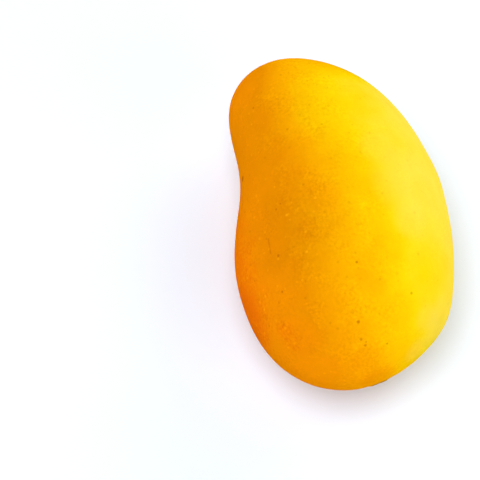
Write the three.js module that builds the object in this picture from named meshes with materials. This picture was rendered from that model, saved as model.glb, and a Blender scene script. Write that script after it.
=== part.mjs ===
// A ripe, kidney-shaped yellow mango lying on its cheek, one solid from skin to skin.
//
// Millimetres, +Z up. +Y points from the broad stem end to the narrower tip, +X to the
// rounded back, and -X to the front with its hollow, the sinus. The origin is on the
// surface that the fruit rests on, under the middle of its box.
//
// The fruit is a unit sphere carried to its shape by smooth terms. Each point of the skin
// is a direction from the middle: it is stretched to an ellipsoid, broadened at the stem
// end, bent like a kidney, and then pushed in or out by the relief.

import * as THREE from 'three';
import { mergeVertices } from 'three/addons/utils/BufferGeometryUtils.js';

// Body, seen from above
const LENGTH = 118; // stem end to tip
const WIDTH = 75.3; // front to back across the middle, before the sinus narrows it
const END_FULLNESS = 0.12; // how much blunter both ends are than an ellipse's
const STEM_BREADTH = 0.11; // how much broader the stem end is than the tip

// Body, seen from the side
const THICKNESS = 61; // cheek to cheek
const SIDE_END_FULLNESS = 0.12;
const SIDE_STEM_BREADTH = 0.06;
const SECTION_FULLNESS = 0.06; // how much squarer the cross-section is than an ellipse

// Kidney bend, and the sinus in the front
const BEND = 4.4; // how far both ends lean to the front
const SKEW = 1.4; // how far the stem end then stands back, and the tip forward
const SINUS_DEPTH = 10.3;
const SINUS_Y = 22;
const SINUS_SPREAD = 27;

// Single swellings, and hollows where the height is negative
const SWELLINGS = {
  backShoulder: { centre: [31, -45, 0], radius: 11, height: 1.5 },
  backKnuckle: { centre: [33, 4, 0], radius: 9, height: 1.1 },
  stemBasin: { centre: [9, -54, 0], radius: 9, height: -0.5 },
  upperCheekHollow: { centre: [-19, -5, 26], radius: 13, height: -0.7 },
  beak: { centre: [-26.9, 16.2, 6.3], radius: 2.6, height: 0.5 },
};

// Uneven growth all over: two sets of long waves
const LUMP_HEIGHT = 0.2;

// The round corky scar that the stalk left, raised a little in a dimple of its own
const SCAR_TO_BACK = 0.12; // where it is, as a direction from the middle of the sphere
const SCAR_DROP = 0.14;
const SCAR_RADIUS = 2.4;
const SCAR_HEIGHT = 0.3;
const SCAR_EDGE = 2;
const DIMPLE_RADIUS = 4.5;
const DIMPLE_DEPTH = 0.5;

// Rest: the lowest part of the cheek is pressed flat, with a soft edge
const REST_DEPTH = 0.8;
const REST_EDGE = 0.25;

// Mesh: rings from the scar to the far end, crowded together near the scar
const RINGS = 64;
const AROUND = 64;
const RING_CROWDING = 0.5;

const SKIN_COLOUR = 0xf5a81c;

const SCAR_DIRECTION = new THREE.Vector3(
  SCAR_TO_BACK,
  -Math.sqrt(1 - SCAR_TO_BACK ** 2 - SCAR_DROP ** 2),
  -SCAR_DROP,
);
const SCAR_CENTRE = kidney(SCAR_DIRECTION);

// Where the bent centre line runs. Stemward is 1 at the stem end and -1 at the tip.
function midline(stemward) {
  return SKEW * stemward - BEND * stemward ** 2;
}

// How far the sinus pushes the skin towards the back: fully in front, not at all behind.
function sinus(direction, y) {
  const front = (1 - direction.x) / 2;
  return SINUS_DEPTH * front ** 2 * Math.exp(-(((y - SINUS_Y) / SINUS_SPREAD) ** 2));
}

// The smooth kidney, before any relief.
function kidney(direction) {
  const stemward = -direction.y;
  const breadth = 1 + END_FULLNESS * stemward ** 2 + STEM_BREADTH * stemward ** 3;
  const sideBreadth = 1 + SIDE_END_FULLNESS * stemward ** 2 + SIDE_STEM_BREADTH * stemward;
  const y = (LENGTH / 2) * direction.y;
  const x = midline(stemward) + (WIDTH / 2) * breadth * direction.x + sinus(direction, y);
  const squarer = SECTION_FULLNESS * direction.x ** 2;
  const z = (THICKNESS / 2) * (sideBreadth + squarer) * direction.z;
  return new THREE.Vector3(x, y, z);
}

// The way out of the flesh at a point of the kidney, much as for an ellipsoid.
function outward({ x, y, z }) {
  const sideways = x - midline(-y / (LENGTH / 2));
  const way = new THREE.Vector3(sideways / WIDTH ** 2, y / LENGTH ** 2, z / THICKNESS ** 2);
  return way.normalize();
}

function bell(distance, radius) {
  return Math.exp(-((distance / radius) ** 2));
}

function swellings(point) {
  let height = 0;
  for (const swelling of Object.values(SWELLINGS)) {
    const distance = point.distanceTo(new THREE.Vector3(...swelling.centre));
    height += swelling.height * bell(distance, swelling.radius);
  }
  return height;
}

function lumps({ x, y, z }) {
  const acrossTheTop = Math.sin(x / 8 + 1) * Math.sin(y / 11 + 0.4);
  const roundTheSides = Math.sin(z / 9 + 2) * Math.sin((x + y) / 13);
  return LUMP_HEIGHT * (acrossTheTop + roundTheSides);
}

function stemScar(point) {
  const distance = point.distanceTo(SCAR_CENTRE);
  const fall = THREE.MathUtils.smoothstep(distance, SCAR_RADIUS, SCAR_RADIUS + SCAR_EDGE);
  return SCAR_HEIGHT * (1 - fall) - DIMPLE_DEPTH * bell(distance, DIMPLE_RADIUS);
}

function skinPoint(direction) {
  const point = kidney(direction);
  const relief = swellings(point) + lumps(point) + stemScar(point);
  return point.addScaledVector(outward(point), relief);
}

function mapVertices(geometry, change) {
  const position = geometry.getAttribute('position');
  const point = new THREE.Vector3();
  for (let index = 0; index < position.count; index += 1) {
    const changed = change(point.fromBufferAttribute(position, index));
    position.setXYZ(index, changed.x, changed.y, changed.z);
  }
  return geometry;
}

// Moves a direction towards the sphere's +Y pole, so that the rings there lie closer.
function crowded(direction) {
  const angle = Math.acos(THREE.MathUtils.clamp(direction.y, -1, 1));
  const nearer = angle - RING_CROWDING * Math.sin(angle);
  const reach = Math.hypot(direction.x, direction.z);
  const spread = reach > 0 ? Math.sin(nearer) / reach : 0;
  return new THREE.Vector3(direction.x * spread, Math.cos(nearer), direction.z * spread);
}

// A closed sphere of directions, with its pole at the scar.
function directionSphere() {
  const sphere = new THREE.SphereGeometry(1, AROUND, RINGS);
  sphere.deleteAttribute('uv');
  sphere.deleteAttribute('normal');
  const pole = new THREE.Vector3(0, 1, 0);
  const turn = new THREE.Quaternion().setFromUnitVectors(pole, SCAR_DIRECTION);
  return mapVertices(mergeVertices(sphere), (at) => crowded(at).applyQuaternion(turn));
}

// Presses a height below zero up to zero, with a rounded change from flat to free.
function pressed(height) {
  if (height <= -REST_EDGE) return 0;
  if (height >= REST_EDGE) return height;
  return (height + REST_EDGE) ** 2 / (4 * REST_EDGE);
}

// Moves the origin under the middle of the box, and flattens the underside there.
function laidDown(geometry) {
  geometry.computeBoundingBox();
  const { min, max } = geometry.boundingBox;
  geometry.translate(-(min.x + max.x) / 2, -(min.y + max.y) / 2, -min.z - REST_DEPTH);
  return mapVertices(geometry, (point) => point.setZ(pressed(point.z)));
}

function mango() {
  const geometry = laidDown(mapVertices(directionSphere(), skinPoint));
  geometry.computeVertexNormals();
  const skin = new THREE.MeshStandardMaterial({ color: SKIN_COLOUR, roughness: 0.45, metalness: 0 });
  const mesh = new THREE.Mesh(geometry, skin);
  mesh.name = 'mango';
  return mesh;
}

const fruit = new THREE.Group();
fruit.add(mango());

export default fruit;
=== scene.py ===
"""A ripe, kidney-shaped yellow mango on a white table, seen from above.

The skin is one fine mesh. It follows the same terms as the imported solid, in
millimetres about the middle of the fruit, and is then laid where the solid lies:
+Y runs from the stem end to the tip, +X to the rounded back and +Z up.
"""

import math

import bpy
import numpy as np
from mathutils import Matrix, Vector, noise
from mathutils.bvhtree import BVHTree


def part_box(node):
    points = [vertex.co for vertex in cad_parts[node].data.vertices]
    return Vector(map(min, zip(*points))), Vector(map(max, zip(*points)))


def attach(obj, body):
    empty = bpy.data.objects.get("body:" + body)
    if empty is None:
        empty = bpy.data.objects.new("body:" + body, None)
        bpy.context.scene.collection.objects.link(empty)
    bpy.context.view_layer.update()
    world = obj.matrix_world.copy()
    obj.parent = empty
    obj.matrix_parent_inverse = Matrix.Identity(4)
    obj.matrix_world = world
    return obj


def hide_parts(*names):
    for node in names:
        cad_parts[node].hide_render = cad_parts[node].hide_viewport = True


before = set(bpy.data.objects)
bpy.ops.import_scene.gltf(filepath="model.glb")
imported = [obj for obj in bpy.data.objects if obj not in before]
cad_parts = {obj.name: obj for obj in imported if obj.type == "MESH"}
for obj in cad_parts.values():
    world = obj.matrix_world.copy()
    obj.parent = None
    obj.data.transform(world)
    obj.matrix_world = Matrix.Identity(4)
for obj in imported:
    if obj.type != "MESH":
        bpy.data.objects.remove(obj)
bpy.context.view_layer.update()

MM = 0.001

# --- Shape: mm, with places measured from the middle of the fruit -----------------------
LENGTH = 118.0
WIDTH = 75.3
THICKNESS = 61.0
END_FULLNESS = 0.12
STEM_BREADTH = 0.11
SIDE_END_FULLNESS = 0.12
SIDE_STEM_BREADTH = 0.06
SECTION_FULLNESS = 0.06
BEND = 4.4
SKEW = 1.4
SINUS_DEPTH = 10.3
SINUS_Y = 22.0
SINUS_SPREAD = 27.0

# Single swellings and hollows: centre, radius and height
SWELLINGS = {
    "back_shoulder": ((31, -45, 0), 11, 1.5),
    "back_knuckle": ((33, 4, 0), 9, 1.1),
    "stem_basin": ((9, -54, 0), 9, -0.5),
    "upper_cheek_hollow": ((-19, -5, 26), 13, -0.7),
    "beak": ((-26.9, 16.2, 6.3), 2.6, 0.5),
}
LUMP_HEIGHT = 0.2

# Where the stalk broke off, as a direction from the middle of the fruit
SCAR_TO_BACK = 0.12
SCAR_DROP = 0.14
SCAR_DIRECTION = np.array(
    [SCAR_TO_BACK, -math.sqrt(1 - SCAR_TO_BACK**2 - SCAR_DROP**2), -SCAR_DROP]
)
SCAR_RADIUS = 2.4
SCAR_HEIGHT = 0.3
SCAR_EDGE = 2.0
DIMPLE_RADIUS = 4.5
DIMPLE_DEPTH = 0.5

# The flat spot that the fruit lies on
REST_DEPTH = 0.8
REST_EDGE = 0.25

# Relief too fine for the solid: wavelength and height of each layer of noise
FINE_RELIEF = ((14.0, 0.10), (5.0, 0.035), (2.2, 0.012))
CORK_WAVELENGTH = 0.7
CORK_HEIGHT = 0.06
CORK_RIM_RADIUS = 2.1
CORK_RIM_WIDTH = 0.5
CORK_RIM_HEIGHT = 0.12
CORK_PIT_RADIUS = 0.7
CORK_PIT_DEPTH = 0.3

# Mesh, with its rings drawn together round the scar
RINGS = 270
AROUND = 360
RING_CROWDING = 0.6

# --- Skin: mm, with places on the fruit as it lies on the table -------------------------
# Colours from the hollow front to the rounded back, by x. The pale end at the back is partly the
# skin's own yellow and partly painted sheen
SKIN_AND_SHEEN_STOPS = (
    (-36, (220, 110, 3)),
    (-30, (216, 125, 2)),
    (-20, (207, 125, 1)),
    (-7, (218, 149, 1)),
    (5, (219, 173, 2)),
    (12, (219, 186, 6)),
    (18, (219, 189, 23)),
    (36, (230, 199, 64)),
)
# The blush colour is partly the skin's own blush and partly painted shade on the lower front
BLUSH_AND_SHADE = (210, 92, 4)
# A pale yellow for the painted sheen on the back
PAINTED_SHEEN = (232, 206, 110)
PALE = (250, 172, 20)
BROWN = (140, 58, 4)
CORK_SHADOW = (58, 34, 18)
CORK_DARK = (112, 70, 34)
CORK_LIGHT = (184, 138, 78)

# How far the colour lies towards the front, below zero, or the back. Each change
# goes from the first place, by y, to the second, where it is full
STEM_END_SHIFT = (-42.0, -60.0, -8.0)
TIP_SHIFT = (2.0, 24.0, 6.5)
TIP_END_SHIFT = (34.0, 56.0, -9.0)
# The same by z
UNDERSIDE_SHIFT = (26.0, 8.0, -14.0)
# The tip's first change leaves out the front, and is full from the second place on, by x
TIP_SHIFT_REACH = (-22.0, -6.0)

# How much lighter both ends are, by y: partly paler skin, partly painted light
STEM_END_PALENESS_AND_PAINTED_LIGHT = (-44.0, -60.0, 0.09)
TIP_PALENESS_AND_PAINTED_LIGHT = (28.0, 56.0, 0.06)

# Soft patches, each with its centre and radius, and then
# how far its colour lies towards the front or the back
TONE_PATCHES = {
    "tip_back": ((19, 55, 43), 17, -14),
    "tip_front": ((-15, 30, 53), 7, -3),
    "tip_band": ((-13, 16, 56), 7, -4),
    "waist_band": ((-13, 2, 57), 6, -3.5),
    "middle_band": ((-14, -15, 58), 4, -3),
    "middle_back_band": ((-7, -6, 60), 5, -4),
    "back_band": ((9, -24, 58), 6, -3.5),
    "back_low_band": ((2, -33, 57), 5.5, -4),
    "upper_back_band": ((10, -6, 59), 6, -3),
    "stem_back_band": ((8, -43, 51), 5, -3),
    "stem_front_band": ((-23.5, -43, 45), 6.5, -6.5),
    "stem_low_band": ((-4, -54, 44), 5, -3.5),
    "scar_side": ((0, -58, 34), 6, -7),
    "tip_shoulder": ((15, 27, 53), 7, -4),
    "upper_flank": ((26, -7, 51), 6, -6),
    "lower_flank": ((23, -31, 48), 8, -6),
    "stem_flank": ((26, -43, 38), 5, -5),
}
# how much lighter it is, or darker below zero
LIGHT_PATCHES = {
    # The darkening on the front cheek is painted shade
    "front_cheek_shade": ((-19, -13, 54), 15, -0.07),
    "scratched": ((-26, -21, 51), 4, -0.04),
    "stem_front": ((-23, -45, 44), 5, -0.05),
    "lower_front": ((-26, -37, 46), 4.5, -0.035),
}
# and how much of the blush, which is partly the skin's own and partly painted shade, or of the
# painted pale sheen, it takes
BLUSH_AND_SHADE_PATCHES = {"lower_front": ((-36, -31, 32), 11, 0.62)}
PAINTED_SHEEN_PATCHES = {
    "upper_back": ((20, -4, 50), 12, 0.16),
    "tip_back": ((14, 9, 57), 6, 0.07),
    "middle_back": ((18, -17, 56), 5.5, 0.10),
    "stem_shoulder": ((24, -46, 37), 8, 0.18),
    "stem_back": ((14, -53, 37), 5, 0.10),
    "stem_flank": ((17, -45, 44), 4.5, 0.09),
}

# Cloudiness: wavelength, and the shift towards the front or the back that it makes
CLOUDS = ((24.0, 7.0), (6.0, 5.0), (2.6, 3.0))
SHADE_WAVELENGTH = 4.5
SHADE_CONTRAST = 0.10

# Grain: it lies in patches, which take it from its least to its most as their noise grows
GRAIN_WAVELENGTH = 0.9
GRAIN_CONTRAST = 0.30
GRAIN_SHIFT = 9.0
GRAIN_BUMP = 0.04
GRAIN_PATCH_WAVELENGTH = 8.0
GRAIN_PATCH_NOISE = (-0.15, 0.2)
GRAIN_LEAST = 0.3
GRAIN_MOST = 1.3

# Grain and pores are faint high on the back: where that begins and is full, by x and by z
BACK_REACH = (-6.0, 20.0)
HIGH_REACH = (24.0, 38.0)
BACK_GRAIN = 0.35

# Pores: one in a cell. Each has a number of its own, from 0 to 1. It begins to be pale or
# brown at the first number given here, and is most so, by the third, at the second
PORE_SPACING = 1.9
PORE_RADIUS = 0.42
PALE_PORES = (0.35, 0.15, 0.22)
BROWN_PORES = (0.75, 1.0, 0.24)
# Brown specks strewn over the flanks and the underside, in the same way
SPECK_SPACING = 6.0
SPECK_RADIUS = 0.45
BROWN_SPECKS = (0.5, 1.0, 0.4)

# A soft spot is full within the first part of its radius, and ends at the second
SPOT_FULL = 0.5
SPOT_END = 1.4

# Marks on top of the fruit: centre by x and y, radius, and how brown they are
MARKS = {
    "beak_scar": ((-28.4, 15.2), 1.00, 0.55),
    "lower_speck": ((-5.1, -44.5), 0.50, 0.50),
    "middle_speck": ((-2.2, -27.9), 0.40, 0.55),
    "cluster_low": ((-4.0, -50.8), 0.45, 0.50),
    "cluster_high": ((-5.1, -49.1), 0.45, 0.45),
    "cluster_side": ((-3.6, -50.0), 0.35, 0.40),
    "stem_side_speck": ((2.8, -51.3), 0.40, 0.45),
    "back_speck": ((12.9, -38.8), 0.45, 0.40),
    "front_speck": ((-25.3, -30.0), 0.40, 0.45),
    "front_low_speck": ((-30.7, -37.1), 0.35, 0.40),
    "scratch_foot": ((-24.3, -19.2), 0.45, 0.45),
    "waist_speck": ((-21.8, -4.4), 0.40, 0.35),
    "waist_high_speck": ((-20.2, -3.1), 0.30, 0.35),
    "cheek_speck": ((-12.3, 0.3), 0.40, 0.30),
    "soft_spot": ((-17.0, -13.2), 1.60, 0.07),
    "tip_speck": ((-20.7, 35.4), 0.40, 0.40),
    "tip_middle_speck": ((-12.6, 21.5), 0.40, 0.35),
    "flank_fleck": ((17.8, -27.5), 0.50, 0.16),
    "low_fleck": ((9.4, -32.9), 0.60, 0.11),
    "high_fleck": ((19.9, -14.4), 0.55, 0.12),
    "middle_fleck": ((10.8, -7.6), 0.50, 0.14),
    "tip_fleck": ((12.4, 14.2), 0.50, 0.13),
}
# Pale spots in the same way, with how pale they are
PALE_MARKS = {
    "scratch_spot": ((-24.5, -20.2), 0.40, 0.30),
    "cheek_spot": ((-9.8, -5.2), 0.45, 0.35),
    "waist_spot": ((-19.2, -7.6), 0.45, 0.35),
    "front_spot": ((-31.2, -32.2), 0.40, 0.40),
    "lower_spot": ((-16.0, -21.2), 0.40, 0.40),
}
# A fine scratch on top of the front, with its ends by x and y
SCRATCH_ENDS = (-26.0, -12.8), (-26.3, -17.4)
SCRATCH_RADIUS = 0.30
SCRATCH_STRENGTH = 0.26

# The cork of the scar: it ends in an uneven dark edge, and has a dark pit in its middle
CORK_RADIUS = 2.9
CORK_WOBBLE = 1.0
CORK_WOBBLE_WAVELENGTH = 1.3
CORK_EDGE = 0.3
CORK_GRAIN_WAVELENGTH = 0.6
CORK_GRAIN_DETAIL = 3.0
CORK_GRAIN_NOISE = (-0.25, 0.25)
CORK_PIT_SHADE = (1.05, 0.49)
HALO_RADIUS = 4.5
HALO_STRENGTH = 0.2

# Roughness of skin and cork, and what grain and cork add up to at each
SKIN_ROUGHNESS = 0.42
CORK_ROUGHNESS = 0.85
ROUGHNESS_REACH = (-0.3, 1.3)

# --- Table, light and camera: metres ----------------------------------------------------
TABLE_WHITE = (0.75, 0.81, 0.90, 1)
TABLE_ROUGHNESS = 0.9
TABLE_GLOSS = 0.1
TABLE_RADIUS = 0.55
TABLE_SIDES = 96

# Disc lights: place, diameter and watts
LIGHTS = {
    "overhead": ((-0.30, -0.12, 1.13), 0.9, 13.85),
    "back_side": ((0.84, 0.66, 0.49), 1.0, 7.2),
    "front_side": ((-0.80, 0.25, 0.42), 1.0, 0.4),
    "stem_end": ((0.66, -0.83, 0.40), 1.0, 5.0),
}
LIGHT_AIM = (0, 0, 0.03)
# The walls dim from the horizon to their top, given as the z of the direction towards it
WALL_TOP = 0.33
WALL_BRIGHTNESS = 1.8
CEILING_BRIGHTNESS = 0.15

CAMERA_AZIMUTH = math.radians(-11.5)
CAMERA_ELEVATION = math.radians(68)
CAMERA_DISTANCE = 0.378
CAMERA_LENS = 85
AIM_LEFT = 0.0302
AIM_BELOW = 0.0084


# --- Shape --------------------------------------------------------------------------------
def midline(stemward):
    return SKEW * stemward - BEND * stemward**2


def kidney(direction):
    """The smooth kidney, with one point for each row of directions."""
    dx, dy, dz = direction.T
    stemward = -dy
    y = LENGTH / 2 * dy
    breadth = 1 + END_FULLNESS * stemward**2 + STEM_BREADTH * stemward**3
    sinus = SINUS_DEPTH * ((1 - dx) / 2) ** 2 * bell(y - SINUS_Y, SINUS_SPREAD)
    x = midline(stemward) + WIDTH / 2 * breadth * dx + sinus
    side = 1 + SIDE_END_FULLNESS * stemward**2 + SIDE_STEM_BREADTH * stemward
    z = THICKNESS / 2 * (side + SECTION_FULLNESS * dx**2) * dz
    return np.stack([x, y, z], axis=1)


def outward(points):
    """The way out of the flesh at each point, much as for an ellipsoid."""
    x, y, z = points.T
    sideways = x - midline(-y / (LENGTH / 2))
    way = np.stack([sideways / WIDTH**2, y / LENGTH**2, z / THICKNESS**2], axis=1)
    return way / np.linalg.norm(way, axis=1, keepdims=True)


def bell(distance, radius):
    return np.exp(-((distance / radius) ** 2))


def smoothstep(values, low, high):
    part = np.clip((values - low) / (high - low), 0, 1)
    return part * part * (3 - 2 * part)


def swellings(points):
    height = np.zeros(len(points))
    for centre, radius, peak in SWELLINGS.values():
        height += peak * bell(np.linalg.norm(points - centre, axis=1), radius)
    return height


def lumps(points):
    x, y, z = points.T
    across_the_top = np.sin(x / 8 + 1) * np.sin(y / 11 + 0.4)
    round_the_sides = np.sin(z / 9 + 2) * np.sin((x + y) / 13)
    return LUMP_HEIGHT * (across_the_top + round_the_sides)


def noise_layer(points, wavelength):
    return np.array([noise.noise(Vector(point) / wavelength) for point in points])


def fine_relief(points):
    return sum(peak * noise_layer(points, wavelength) for wavelength, peak in FINE_RELIEF)


def scar_centre():
    return kidney(SCAR_DIRECTION[None, :])[0]


def stem_scar(points):
    """A corky disc in its dimple, with a raised rim and a pit where the stalk's strands broke."""
    distance = np.linalg.norm(points - scar_centre(), axis=1)
    on_disc = 1 - smoothstep(distance, SCAR_RADIUS, SCAR_RADIUS + SCAR_EDGE)
    rim = CORK_RIM_HEIGHT * bell(distance - CORK_RIM_RADIUS, CORK_RIM_WIDTH)
    pit = CORK_PIT_DEPTH * bell(distance, CORK_PIT_RADIUS)
    cork = CORK_HEIGHT * noise_layer(points, CORK_WAVELENGTH)
    dimple = DIMPLE_DEPTH * bell(distance, DIMPLE_RADIUS)
    return (SCAR_HEIGHT + cork - pit) * on_disc + rim - dimple


def skin_points(direction):
    points = kidney(direction)
    relief = swellings(points) + lumps(points) + fine_relief(points) + stem_scar(points)
    return points + outward(points) * relief[:, None]


def sphere_directions():
    """Directions over a closed sphere: its first pole, at the scar, its rings and its last pole."""
    angle = np.pi * np.arange(1, RINGS) / RINGS
    angle -= RING_CROWDING * np.sin(angle)
    turn = 2 * np.pi * np.arange(AROUND) / AROUND
    from_pole, around = (grid.ravel() for grid in np.meshgrid(angle, turn, indexing="ij"))
    across = np.sin(from_pole)
    rings = np.stack([across * np.cos(around), across * np.sin(around), np.cos(from_pole)], axis=1)
    upright = np.vstack([[0, 0, 1], rings, [0, 0, -1]])
    to_scar = Vector((0, 0, 1)).rotation_difference(Vector(SCAR_DIRECTION)).to_matrix()
    return upright @ np.array(to_scar).T


def sphere_faces():
    first_ring = 1
    last_ring = first_ring + (RINGS - 2) * AROUND
    last_pole = last_ring + AROUND
    faces = []
    for a in range(AROUND):
        b = (a + 1) % AROUND
        faces.append((0, first_ring + a, first_ring + b))
        faces.append((last_pole, last_ring + b, last_ring + a))
        for ring in range(first_ring, last_ring, AROUND):
            faces.append((ring + a, ring + AROUND + a, ring + AROUND + b, ring + b))
    return faces


def pressed(height):
    """Heights below zero pressed up to zero, with a rounded change from flat to free."""
    rounded = (height + REST_EDGE) ** 2 / (4 * REST_EDGE)
    return np.where(height <= -REST_EDGE, 0, np.where(height >= REST_EDGE, height, rounded))


def shift_to_rest(points):
    """The move from the fruit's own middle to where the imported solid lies."""
    low, high = (np.array(corner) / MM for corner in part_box("mango"))
    shift = (low + high) / 2 - (points.min(axis=0) + points.max(axis=0)) / 2
    shift[2] = low[2] - REST_DEPTH - points[:, 2].min()
    return shift


def make_fruit():
    """The fruit, and where its own middle came to lie, in mm."""
    points = skin_points(sphere_directions())
    middle = shift_to_rest(points)
    points += middle
    points[:, 2] = pressed(points[:, 2])
    mesh = bpy.data.meshes.new("mango_skin")
    mesh.from_pydata((points * MM).tolist(), [], sphere_faces())
    mesh.shade_smooth()
    fruit = bpy.data.objects.new("mango_skin", mesh)
    bpy.context.scene.collection.objects.link(fruit)
    return fruit, middle


# --- Skin -----------------------------------------------------------------------------------
def linear(channel):
    part = channel / 255
    return part / 12.92 if part <= 0.04045 else ((part + 0.055) / 1.055) ** 2.4


def colour(rgb):
    return (*(linear(channel) for channel in rgb), 1)


class Net:
    """The nodes of a material or a world, built from small steps.

    Values are sockets, numbers or vectors.
    """

    def __init__(self, owner, shader="Principled BSDF"):
        owner.use_nodes = True
        self.tree = owner.node_tree
        self.shader = self.tree.nodes[shader].inputs

    def put(self, socket, value):
        if isinstance(value, bpy.types.NodeSocket):
            self.tree.links.new(value, socket)
        else:
            socket.default_value = value

    def add(self, kind, inputs, **settings):
        node = self.tree.nodes.new("ShaderNode" + kind)
        for name, value in settings.items():
            setattr(node, name, value)
        for name, value in inputs.items():
            self.put(node.inputs[name], value)
        return node

    def calc(self, operation, *values):
        return self.add("Math", dict(enumerate(values)), operation=operation).outputs[0]

    def vector(self, operation, *values, output="Vector"):
        return self.add("VectorMath", dict(enumerate(values)), operation=operation).outputs[output]

    def scaled(self, vector, factor):
        inputs = {"Vector": vector, "Scale": factor}
        return self.add("VectorMath", inputs, operation="SCALE").outputs["Vector"]

    def distance(self, place, centre):
        return self.vector("DISTANCE", place, centre, output="Value")

    def mixed(self, factor, a, b):
        """Colours a to b as factor goes from 0 to 1. Sockets 0, 6, 7 and 2 are those for colours."""
        return self.add("Mix", {0: factor, 6: a, 7: b}, data_type="RGBA").outputs[2]

    def step(self, value, low, high, end=1.0, start=0.0):
        """A smooth change from start to end as value goes from low to high."""
        limits = {"From Min": low, "From Max": high, "To Min": start, "To Max": end}
        inputs = {"Value": value, **limits}
        return self.add("MapRange", inputs, interpolation_type="SMOOTHSTEP").outputs["Result"]

    def ramp(self, value, stops):
        """Colours by value, straight between the stops."""
        low, high = stops[0][0], stops[-1][0]
        inputs = {"Value": value, "From Min": low, "From Max": high}
        part = self.add("MapRange", inputs).outputs["Result"]
        node = self.add("ValToRGB", {"Fac": part})
        elements = node.color_ramp.elements
        while len(elements) < len(stops):
            elements.new(1.0)
        for element, (place, rgb) in zip(elements, stops):
            element.position = (place - low) / (high - low)
            element.color = colour(rgb)
        return node.outputs["Color"]

    def noise(self, place, wavelength, detail=2.0):
        """Noise about zero, mostly within -0.5 to 0.5."""
        inputs = {"Vector": place, "Scale": 1 / wavelength, "Detail": detail}
        return self.calc("SUBTRACT", self.add("TexNoise", inputs).outputs["Fac"], 0.5)

    def cells(self, place, spacing):
        """The distance to the nearest scattered point, and a random value of that point's own."""
        node = self.add("TexVoronoi", {"Vector": place, "Scale": 1 / spacing})
        own = self.add("SeparateColor", {"Color": node.outputs["Color"]}).outputs["Red"]
        return self.calc("MULTIPLY", node.outputs["Distance"], spacing), own

    def spot(self, gap, radius):
        """A soft spot, by the distance to its middle."""
        return self.step(gap, SPOT_END * radius, SPOT_FULL * radius)

    def line(self, place, ends, radius):
        """A soft line between two ends."""
        start, end = ends
        way = end - start
        from_start = self.vector("SUBTRACT", place, start)
        along = self.vector("DOT_PRODUCT", from_start, way / way.length_squared, output="Value")
        along = self.calc("MINIMUM", self.calc("MAXIMUM", along, 0.0), 1.0)
        nearest = self.vector("ADD", self.scaled(way, along), start)
        return self.spot(self.distance(place, nearest), radius)

    def total(self, place, spots):
        """What the spots that reach a place add up to."""
        total = 0.0
        for centre, radius, value in spots:
            spot = self.spot(self.distance(place, centre), radius)
            total = self.calc("MULTIPLY_ADD", spot, value, total)
        return total


def ground_colour(net, place, x, y, z, grain):
    tone = net.calc("MULTIPLY_ADD", grain, GRAIN_SHIFT, x)
    for wavelength, shift in CLOUDS:
        tone = net.calc("MULTIPLY_ADD", net.noise(place, wavelength), shift, tone)
    tone = net.calc("ADD", tone, net.step(y, *STEM_END_SHIFT))
    towards_tip = net.calc("MULTIPLY", net.step(y, *TIP_SHIFT), net.step(x, *TIP_SHIFT_REACH))
    tone = net.calc("ADD", tone, towards_tip)
    tone = net.calc("ADD", tone, net.step(y, *TIP_END_SHIFT))
    tone = net.calc("ADD", tone, net.step(z, *UNDERSIDE_SHIFT))
    tone = net.calc("ADD", tone, net.total(place, TONE_PATCHES.values()))
    skin = net.ramp(tone, SKIN_AND_SHEEN_STOPS)
    # Blush on the lower front, partly the skin's own and partly painted shade
    skin = net.mixed(net.total(place, BLUSH_AND_SHADE_PATCHES.values()), skin, colour(BLUSH_AND_SHADE))
    # Painted pale sheen on the back
    return net.mixed(net.total(place, PAINTED_SHEEN_PATCHES.values()), skin, colour(PAINTED_SHEEN))


def light_of(net, place, y, grain):
    """How light the skin is, next to its ground colour."""
    light = net.calc("MULTIPLY_ADD", grain, GRAIN_CONTRAST, 1.0)
    light = net.calc("MULTIPLY_ADD", net.noise(place, SHADE_WAVELENGTH), SHADE_CONTRAST, light)
    # The patches hold painted shade on the front cheek
    light = net.calc("ADD", light, net.total(place, LIGHT_PATCHES.values()))
    # The lighter ends are partly paler skin and partly painted light
    light = net.calc("ADD", light, net.step(y, *TIP_PALENESS_AND_PAINTED_LIGHT))
    return net.calc("ADD", light, net.step(y, *STEM_END_PALENESS_AND_PAINTED_LIGHT))


def fineness(net, x, z):
    """How much grain and how many pores there are: fewer high on the back."""
    high_on_back = net.calc("MULTIPLY", net.step(x, *BACK_REACH), net.step(z, *HIGH_REACH))
    return net.calc("MULTIPLY_ADD", high_on_back, BACK_GRAIN - 1, 1.0)


def skin_grain(net, place, strength):
    """Grain about zero."""
    patches = net.noise(place, GRAIN_PATCH_WAVELENGTH)
    patches = net.step(patches, *GRAIN_PATCH_NOISE, GRAIN_MOST, GRAIN_LEAST)
    grain = net.noise(place, GRAIN_WAVELENGTH, 1.0)
    return net.calc("MULTIPLY", grain, net.calc("MULTIPLY", patches, strength))


def skin_pores(net, place, strength):
    """Where the pale and the brown pores are."""
    gap, own = net.cells(place, PORE_SPACING)
    pore = net.calc("MULTIPLY", net.spot(gap, PORE_RADIUS), strength)
    pale = net.calc("MULTIPLY", pore, net.step(own, *PALE_PORES))
    brown = net.calc("MULTIPLY", pore, net.step(own, *BROWN_PORES))
    return pale, brown


def top_finder(fruit):
    """A function from x and y to the place on top of the fruit there, all in mm."""
    corners = [vertex.co for vertex in fruit.data.vertices]
    faces = [tuple(face.vertices) for face in fruit.data.polygons]
    tree = BVHTree.FromPolygons(corners, faces)

    def on_top(x_and_y):
        above = Vector((*x_and_y, 2 * THICKNESS)) * MM
        place = tree.ray_cast(above, (0, 0, -1))[0]
        return place / MM

    return on_top


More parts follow.
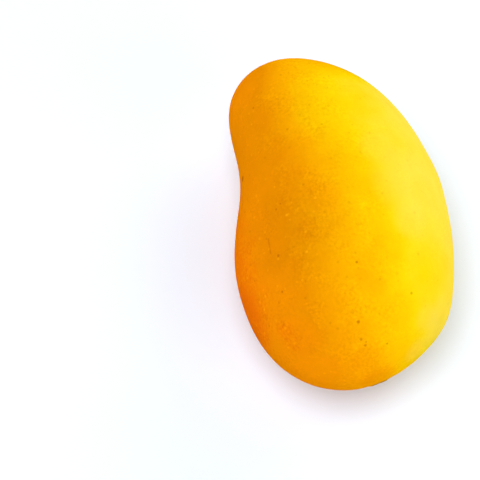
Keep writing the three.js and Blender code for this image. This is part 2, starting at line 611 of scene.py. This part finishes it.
def skin_marks(net, place, on_top):
    """Where the pale and the brown marks are."""

    def marked(marks):
        spots = [(on_top(centre), radius, value) for centre, radius, value in marks.values()]
        return net.total(place, spots)

    scratch = net.line(place, [on_top(end) for end in SCRATCH_ENDS], SCRATCH_RADIUS)
    scratch = net.calc("MULTIPLY", scratch, SCRATCH_STRENGTH)
    return marked(PALE_MARKS), net.calc("MAXIMUM", marked(MARKS), scratch)


def flank_specks(net, place, z):
    gap, own = net.cells(place, SPECK_SPACING)
    low_down = net.step(z, *reversed(HIGH_REACH))
    speck = net.calc("MULTIPLY", net.spot(gap, SPECK_RADIUS), low_down)
    return net.calc("MULTIPLY", speck, net.step(own, *BROWN_SPECKS))


def scar_cork(net, place, gap):
    """Where the cork is, and its colour, by the distance to the scar's middle."""
    wobble = net.noise(place, CORK_WOBBLE_WAVELENGTH)
    uneven_gap = net.calc("MULTIPLY_ADD", wobble, CORK_WOBBLE, gap)
    grain = net.noise(place, CORK_GRAIN_WAVELENGTH, CORK_GRAIN_DETAIL)
    grain = net.step(grain, *CORK_GRAIN_NOISE)
    cork_colour = net.mixed(grain, colour(CORK_DARK), colour(CORK_LIGHT))
    edge = net.step(uneven_gap, CORK_RIM_RADIUS, CORK_RADIUS)
    shadow = net.calc("MAXIMUM", edge, net.step(gap, *CORK_PIT_SHADE))
    cork_colour = net.mixed(shadow, cork_colour, colour(CORK_SHADOW))
    cork = net.step(uneven_gap, CORK_RADIUS + CORK_EDGE, CORK_RADIUS - CORK_EDGE)
    return cork, cork_colour


def make_skin(fruit, scar):
    material = bpy.data.materials.new("mango_skin")
    net = Net(material)
    place = net.scaled(net.add("TexCoord", {}).outputs["Object"], 1 / MM)
    x, y, z = net.add("SeparateXYZ", {"Vector": place}).outputs
    strength = fineness(net, x, z)
    grain = skin_grain(net, place, strength)
    ground = ground_colour(net, place, x, y, z, grain)
    skin = net.scaled(ground, light_of(net, place, y, grain))

    pale_pores, brown_pores = skin_pores(net, place, strength)
    pale_marks, brown_marks = skin_marks(net, place, top_finder(fruit))
    pale = net.calc("MAXIMUM", pale_pores, pale_marks)
    brown = net.calc("MAXIMUM", brown_pores, brown_marks)
    brown = net.calc("MAXIMUM", brown, flank_specks(net, place, z))
    skin = net.mixed(pale, skin, colour(PALE))
    skin = net.mixed(brown, skin, colour(BROWN))

    scar_gap = net.distance(place, tuple(scar))
    halo = net.calc("MULTIPLY", net.spot(scar_gap, HALO_RADIUS), HALO_STRENGTH)
    skin = net.mixed(halo, skin, colour(BROWN))
    cork, cork_colour = scar_cork(net, place, scar_gap)
    skin = net.mixed(cork, skin, cork_colour)
    roughness = net.calc("ADD", grain, cork)
    roughness = net.step(roughness, *ROUGHNESS_REACH, CORK_ROUGHNESS, SKIN_ROUGHNESS)
    relief = net.calc("ADD", grain, net.calc("SUBTRACT", pale, brown))
    bump = net.add("Bump", {"Height": relief, "Distance": GRAIN_BUMP * MM, "Strength": 1.0})

    net.put(net.shader["Base Color"], skin)
    net.put(net.shader["Roughness"], roughness)
    net.put(net.shader["Normal"], bump.outputs["Normal"])
    net.shader["Specular IOR Level"].default_value = 0.0
    return material


# --- Table, light and camera ------------------------------------------------------------------
def make_table():
    bpy.ops.mesh.primitive_circle_add(
        vertices=TABLE_SIDES, radius=TABLE_RADIUS, fill_type="NGON"
    )
    table = bpy.context.object
    table.name = "table"
    material = bpy.data.materials.new("table_white")
    net = Net(material)
    net.put(net.shader["Base Color"], TABLE_WHITE)
    net.put(net.shader["Roughness"], TABLE_ROUGHNESS)
    net.put(net.shader["Specular IOR Level"], TABLE_GLOSS)
    table.data.materials.append(material)


def make_light(name, place, diameter, power):
    data = bpy.data.lights.new(name, "AREA")
    data.shape = "DISK"
    data.size = diameter
    data.energy = power
    light = bpy.data.objects.new(name, data)
    light.location = place
    light.rotation_euler = (Vector(LIGHT_AIM) - Vector(place)).to_track_quat("-Z", "Y").to_euler()
    bpy.context.scene.collection.objects.link(light)


def make_world():
    """White walls all round, dim above."""
    world = bpy.data.worlds.new("studio")
    net = Net(world, "Background")
    way = net.add("TexCoord", {}).outputs["Generated"]
    height = net.add("SeparateXYZ", {"Vector": way}).outputs["Z"]
    limits = {"From Max": WALL_TOP, "To Min": WALL_BRIGHTNESS, "To Max": CEILING_BRIGHTNESS}
    brightness = net.add("MapRange", {"Value": height, **limits}).outputs["Result"]
    net.put(net.shader["Strength"], brightness)
    net.put(net.shader["Color"], (1, 1, 1, 1))
    bpy.context.scene.world = world


def make_camera(middle):
    """A camera that looks down on the fruit, aimed to the left of its middle and below it."""
    data = bpy.data.cameras.new("camera")
    data.lens = CAMERA_LENS
    camera = bpy.data.objects.new("camera", data)
    level = math.cos(CAMERA_ELEVATION)
    back = Vector(
        (
            math.sin(CAMERA_AZIMUTH) * level,
            -math.cos(CAMERA_AZIMUTH) * level,
            math.sin(CAMERA_ELEVATION),
        )
    )
    right = Vector((math.cos(CAMERA_AZIMUTH), math.sin(CAMERA_AZIMUTH), 0))
    up = back.cross(right)
    target = Vector(middle) * MM - right * AIM_LEFT - up * AIM_BELOW
    camera.location = target + back * CAMERA_DISTANCE
    camera.rotation_euler = back.to_track_quat("Z", "Y").to_euler()
    bpy.context.scene.collection.objects.link(camera)
    bpy.context.scene.camera = camera


fruit, middle = make_fruit()
fruit.data.materials.append(make_skin(fruit, scar_centre() + middle))
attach(fruit, "root")
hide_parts("mango")

make_table()
make_world()
for name, (place, diameter, power) in LIGHTS.items():
    make_light(name, place, diameter, power)
make_camera(middle)
bpy.context.scene.view_settings.view_transform = "Standard"
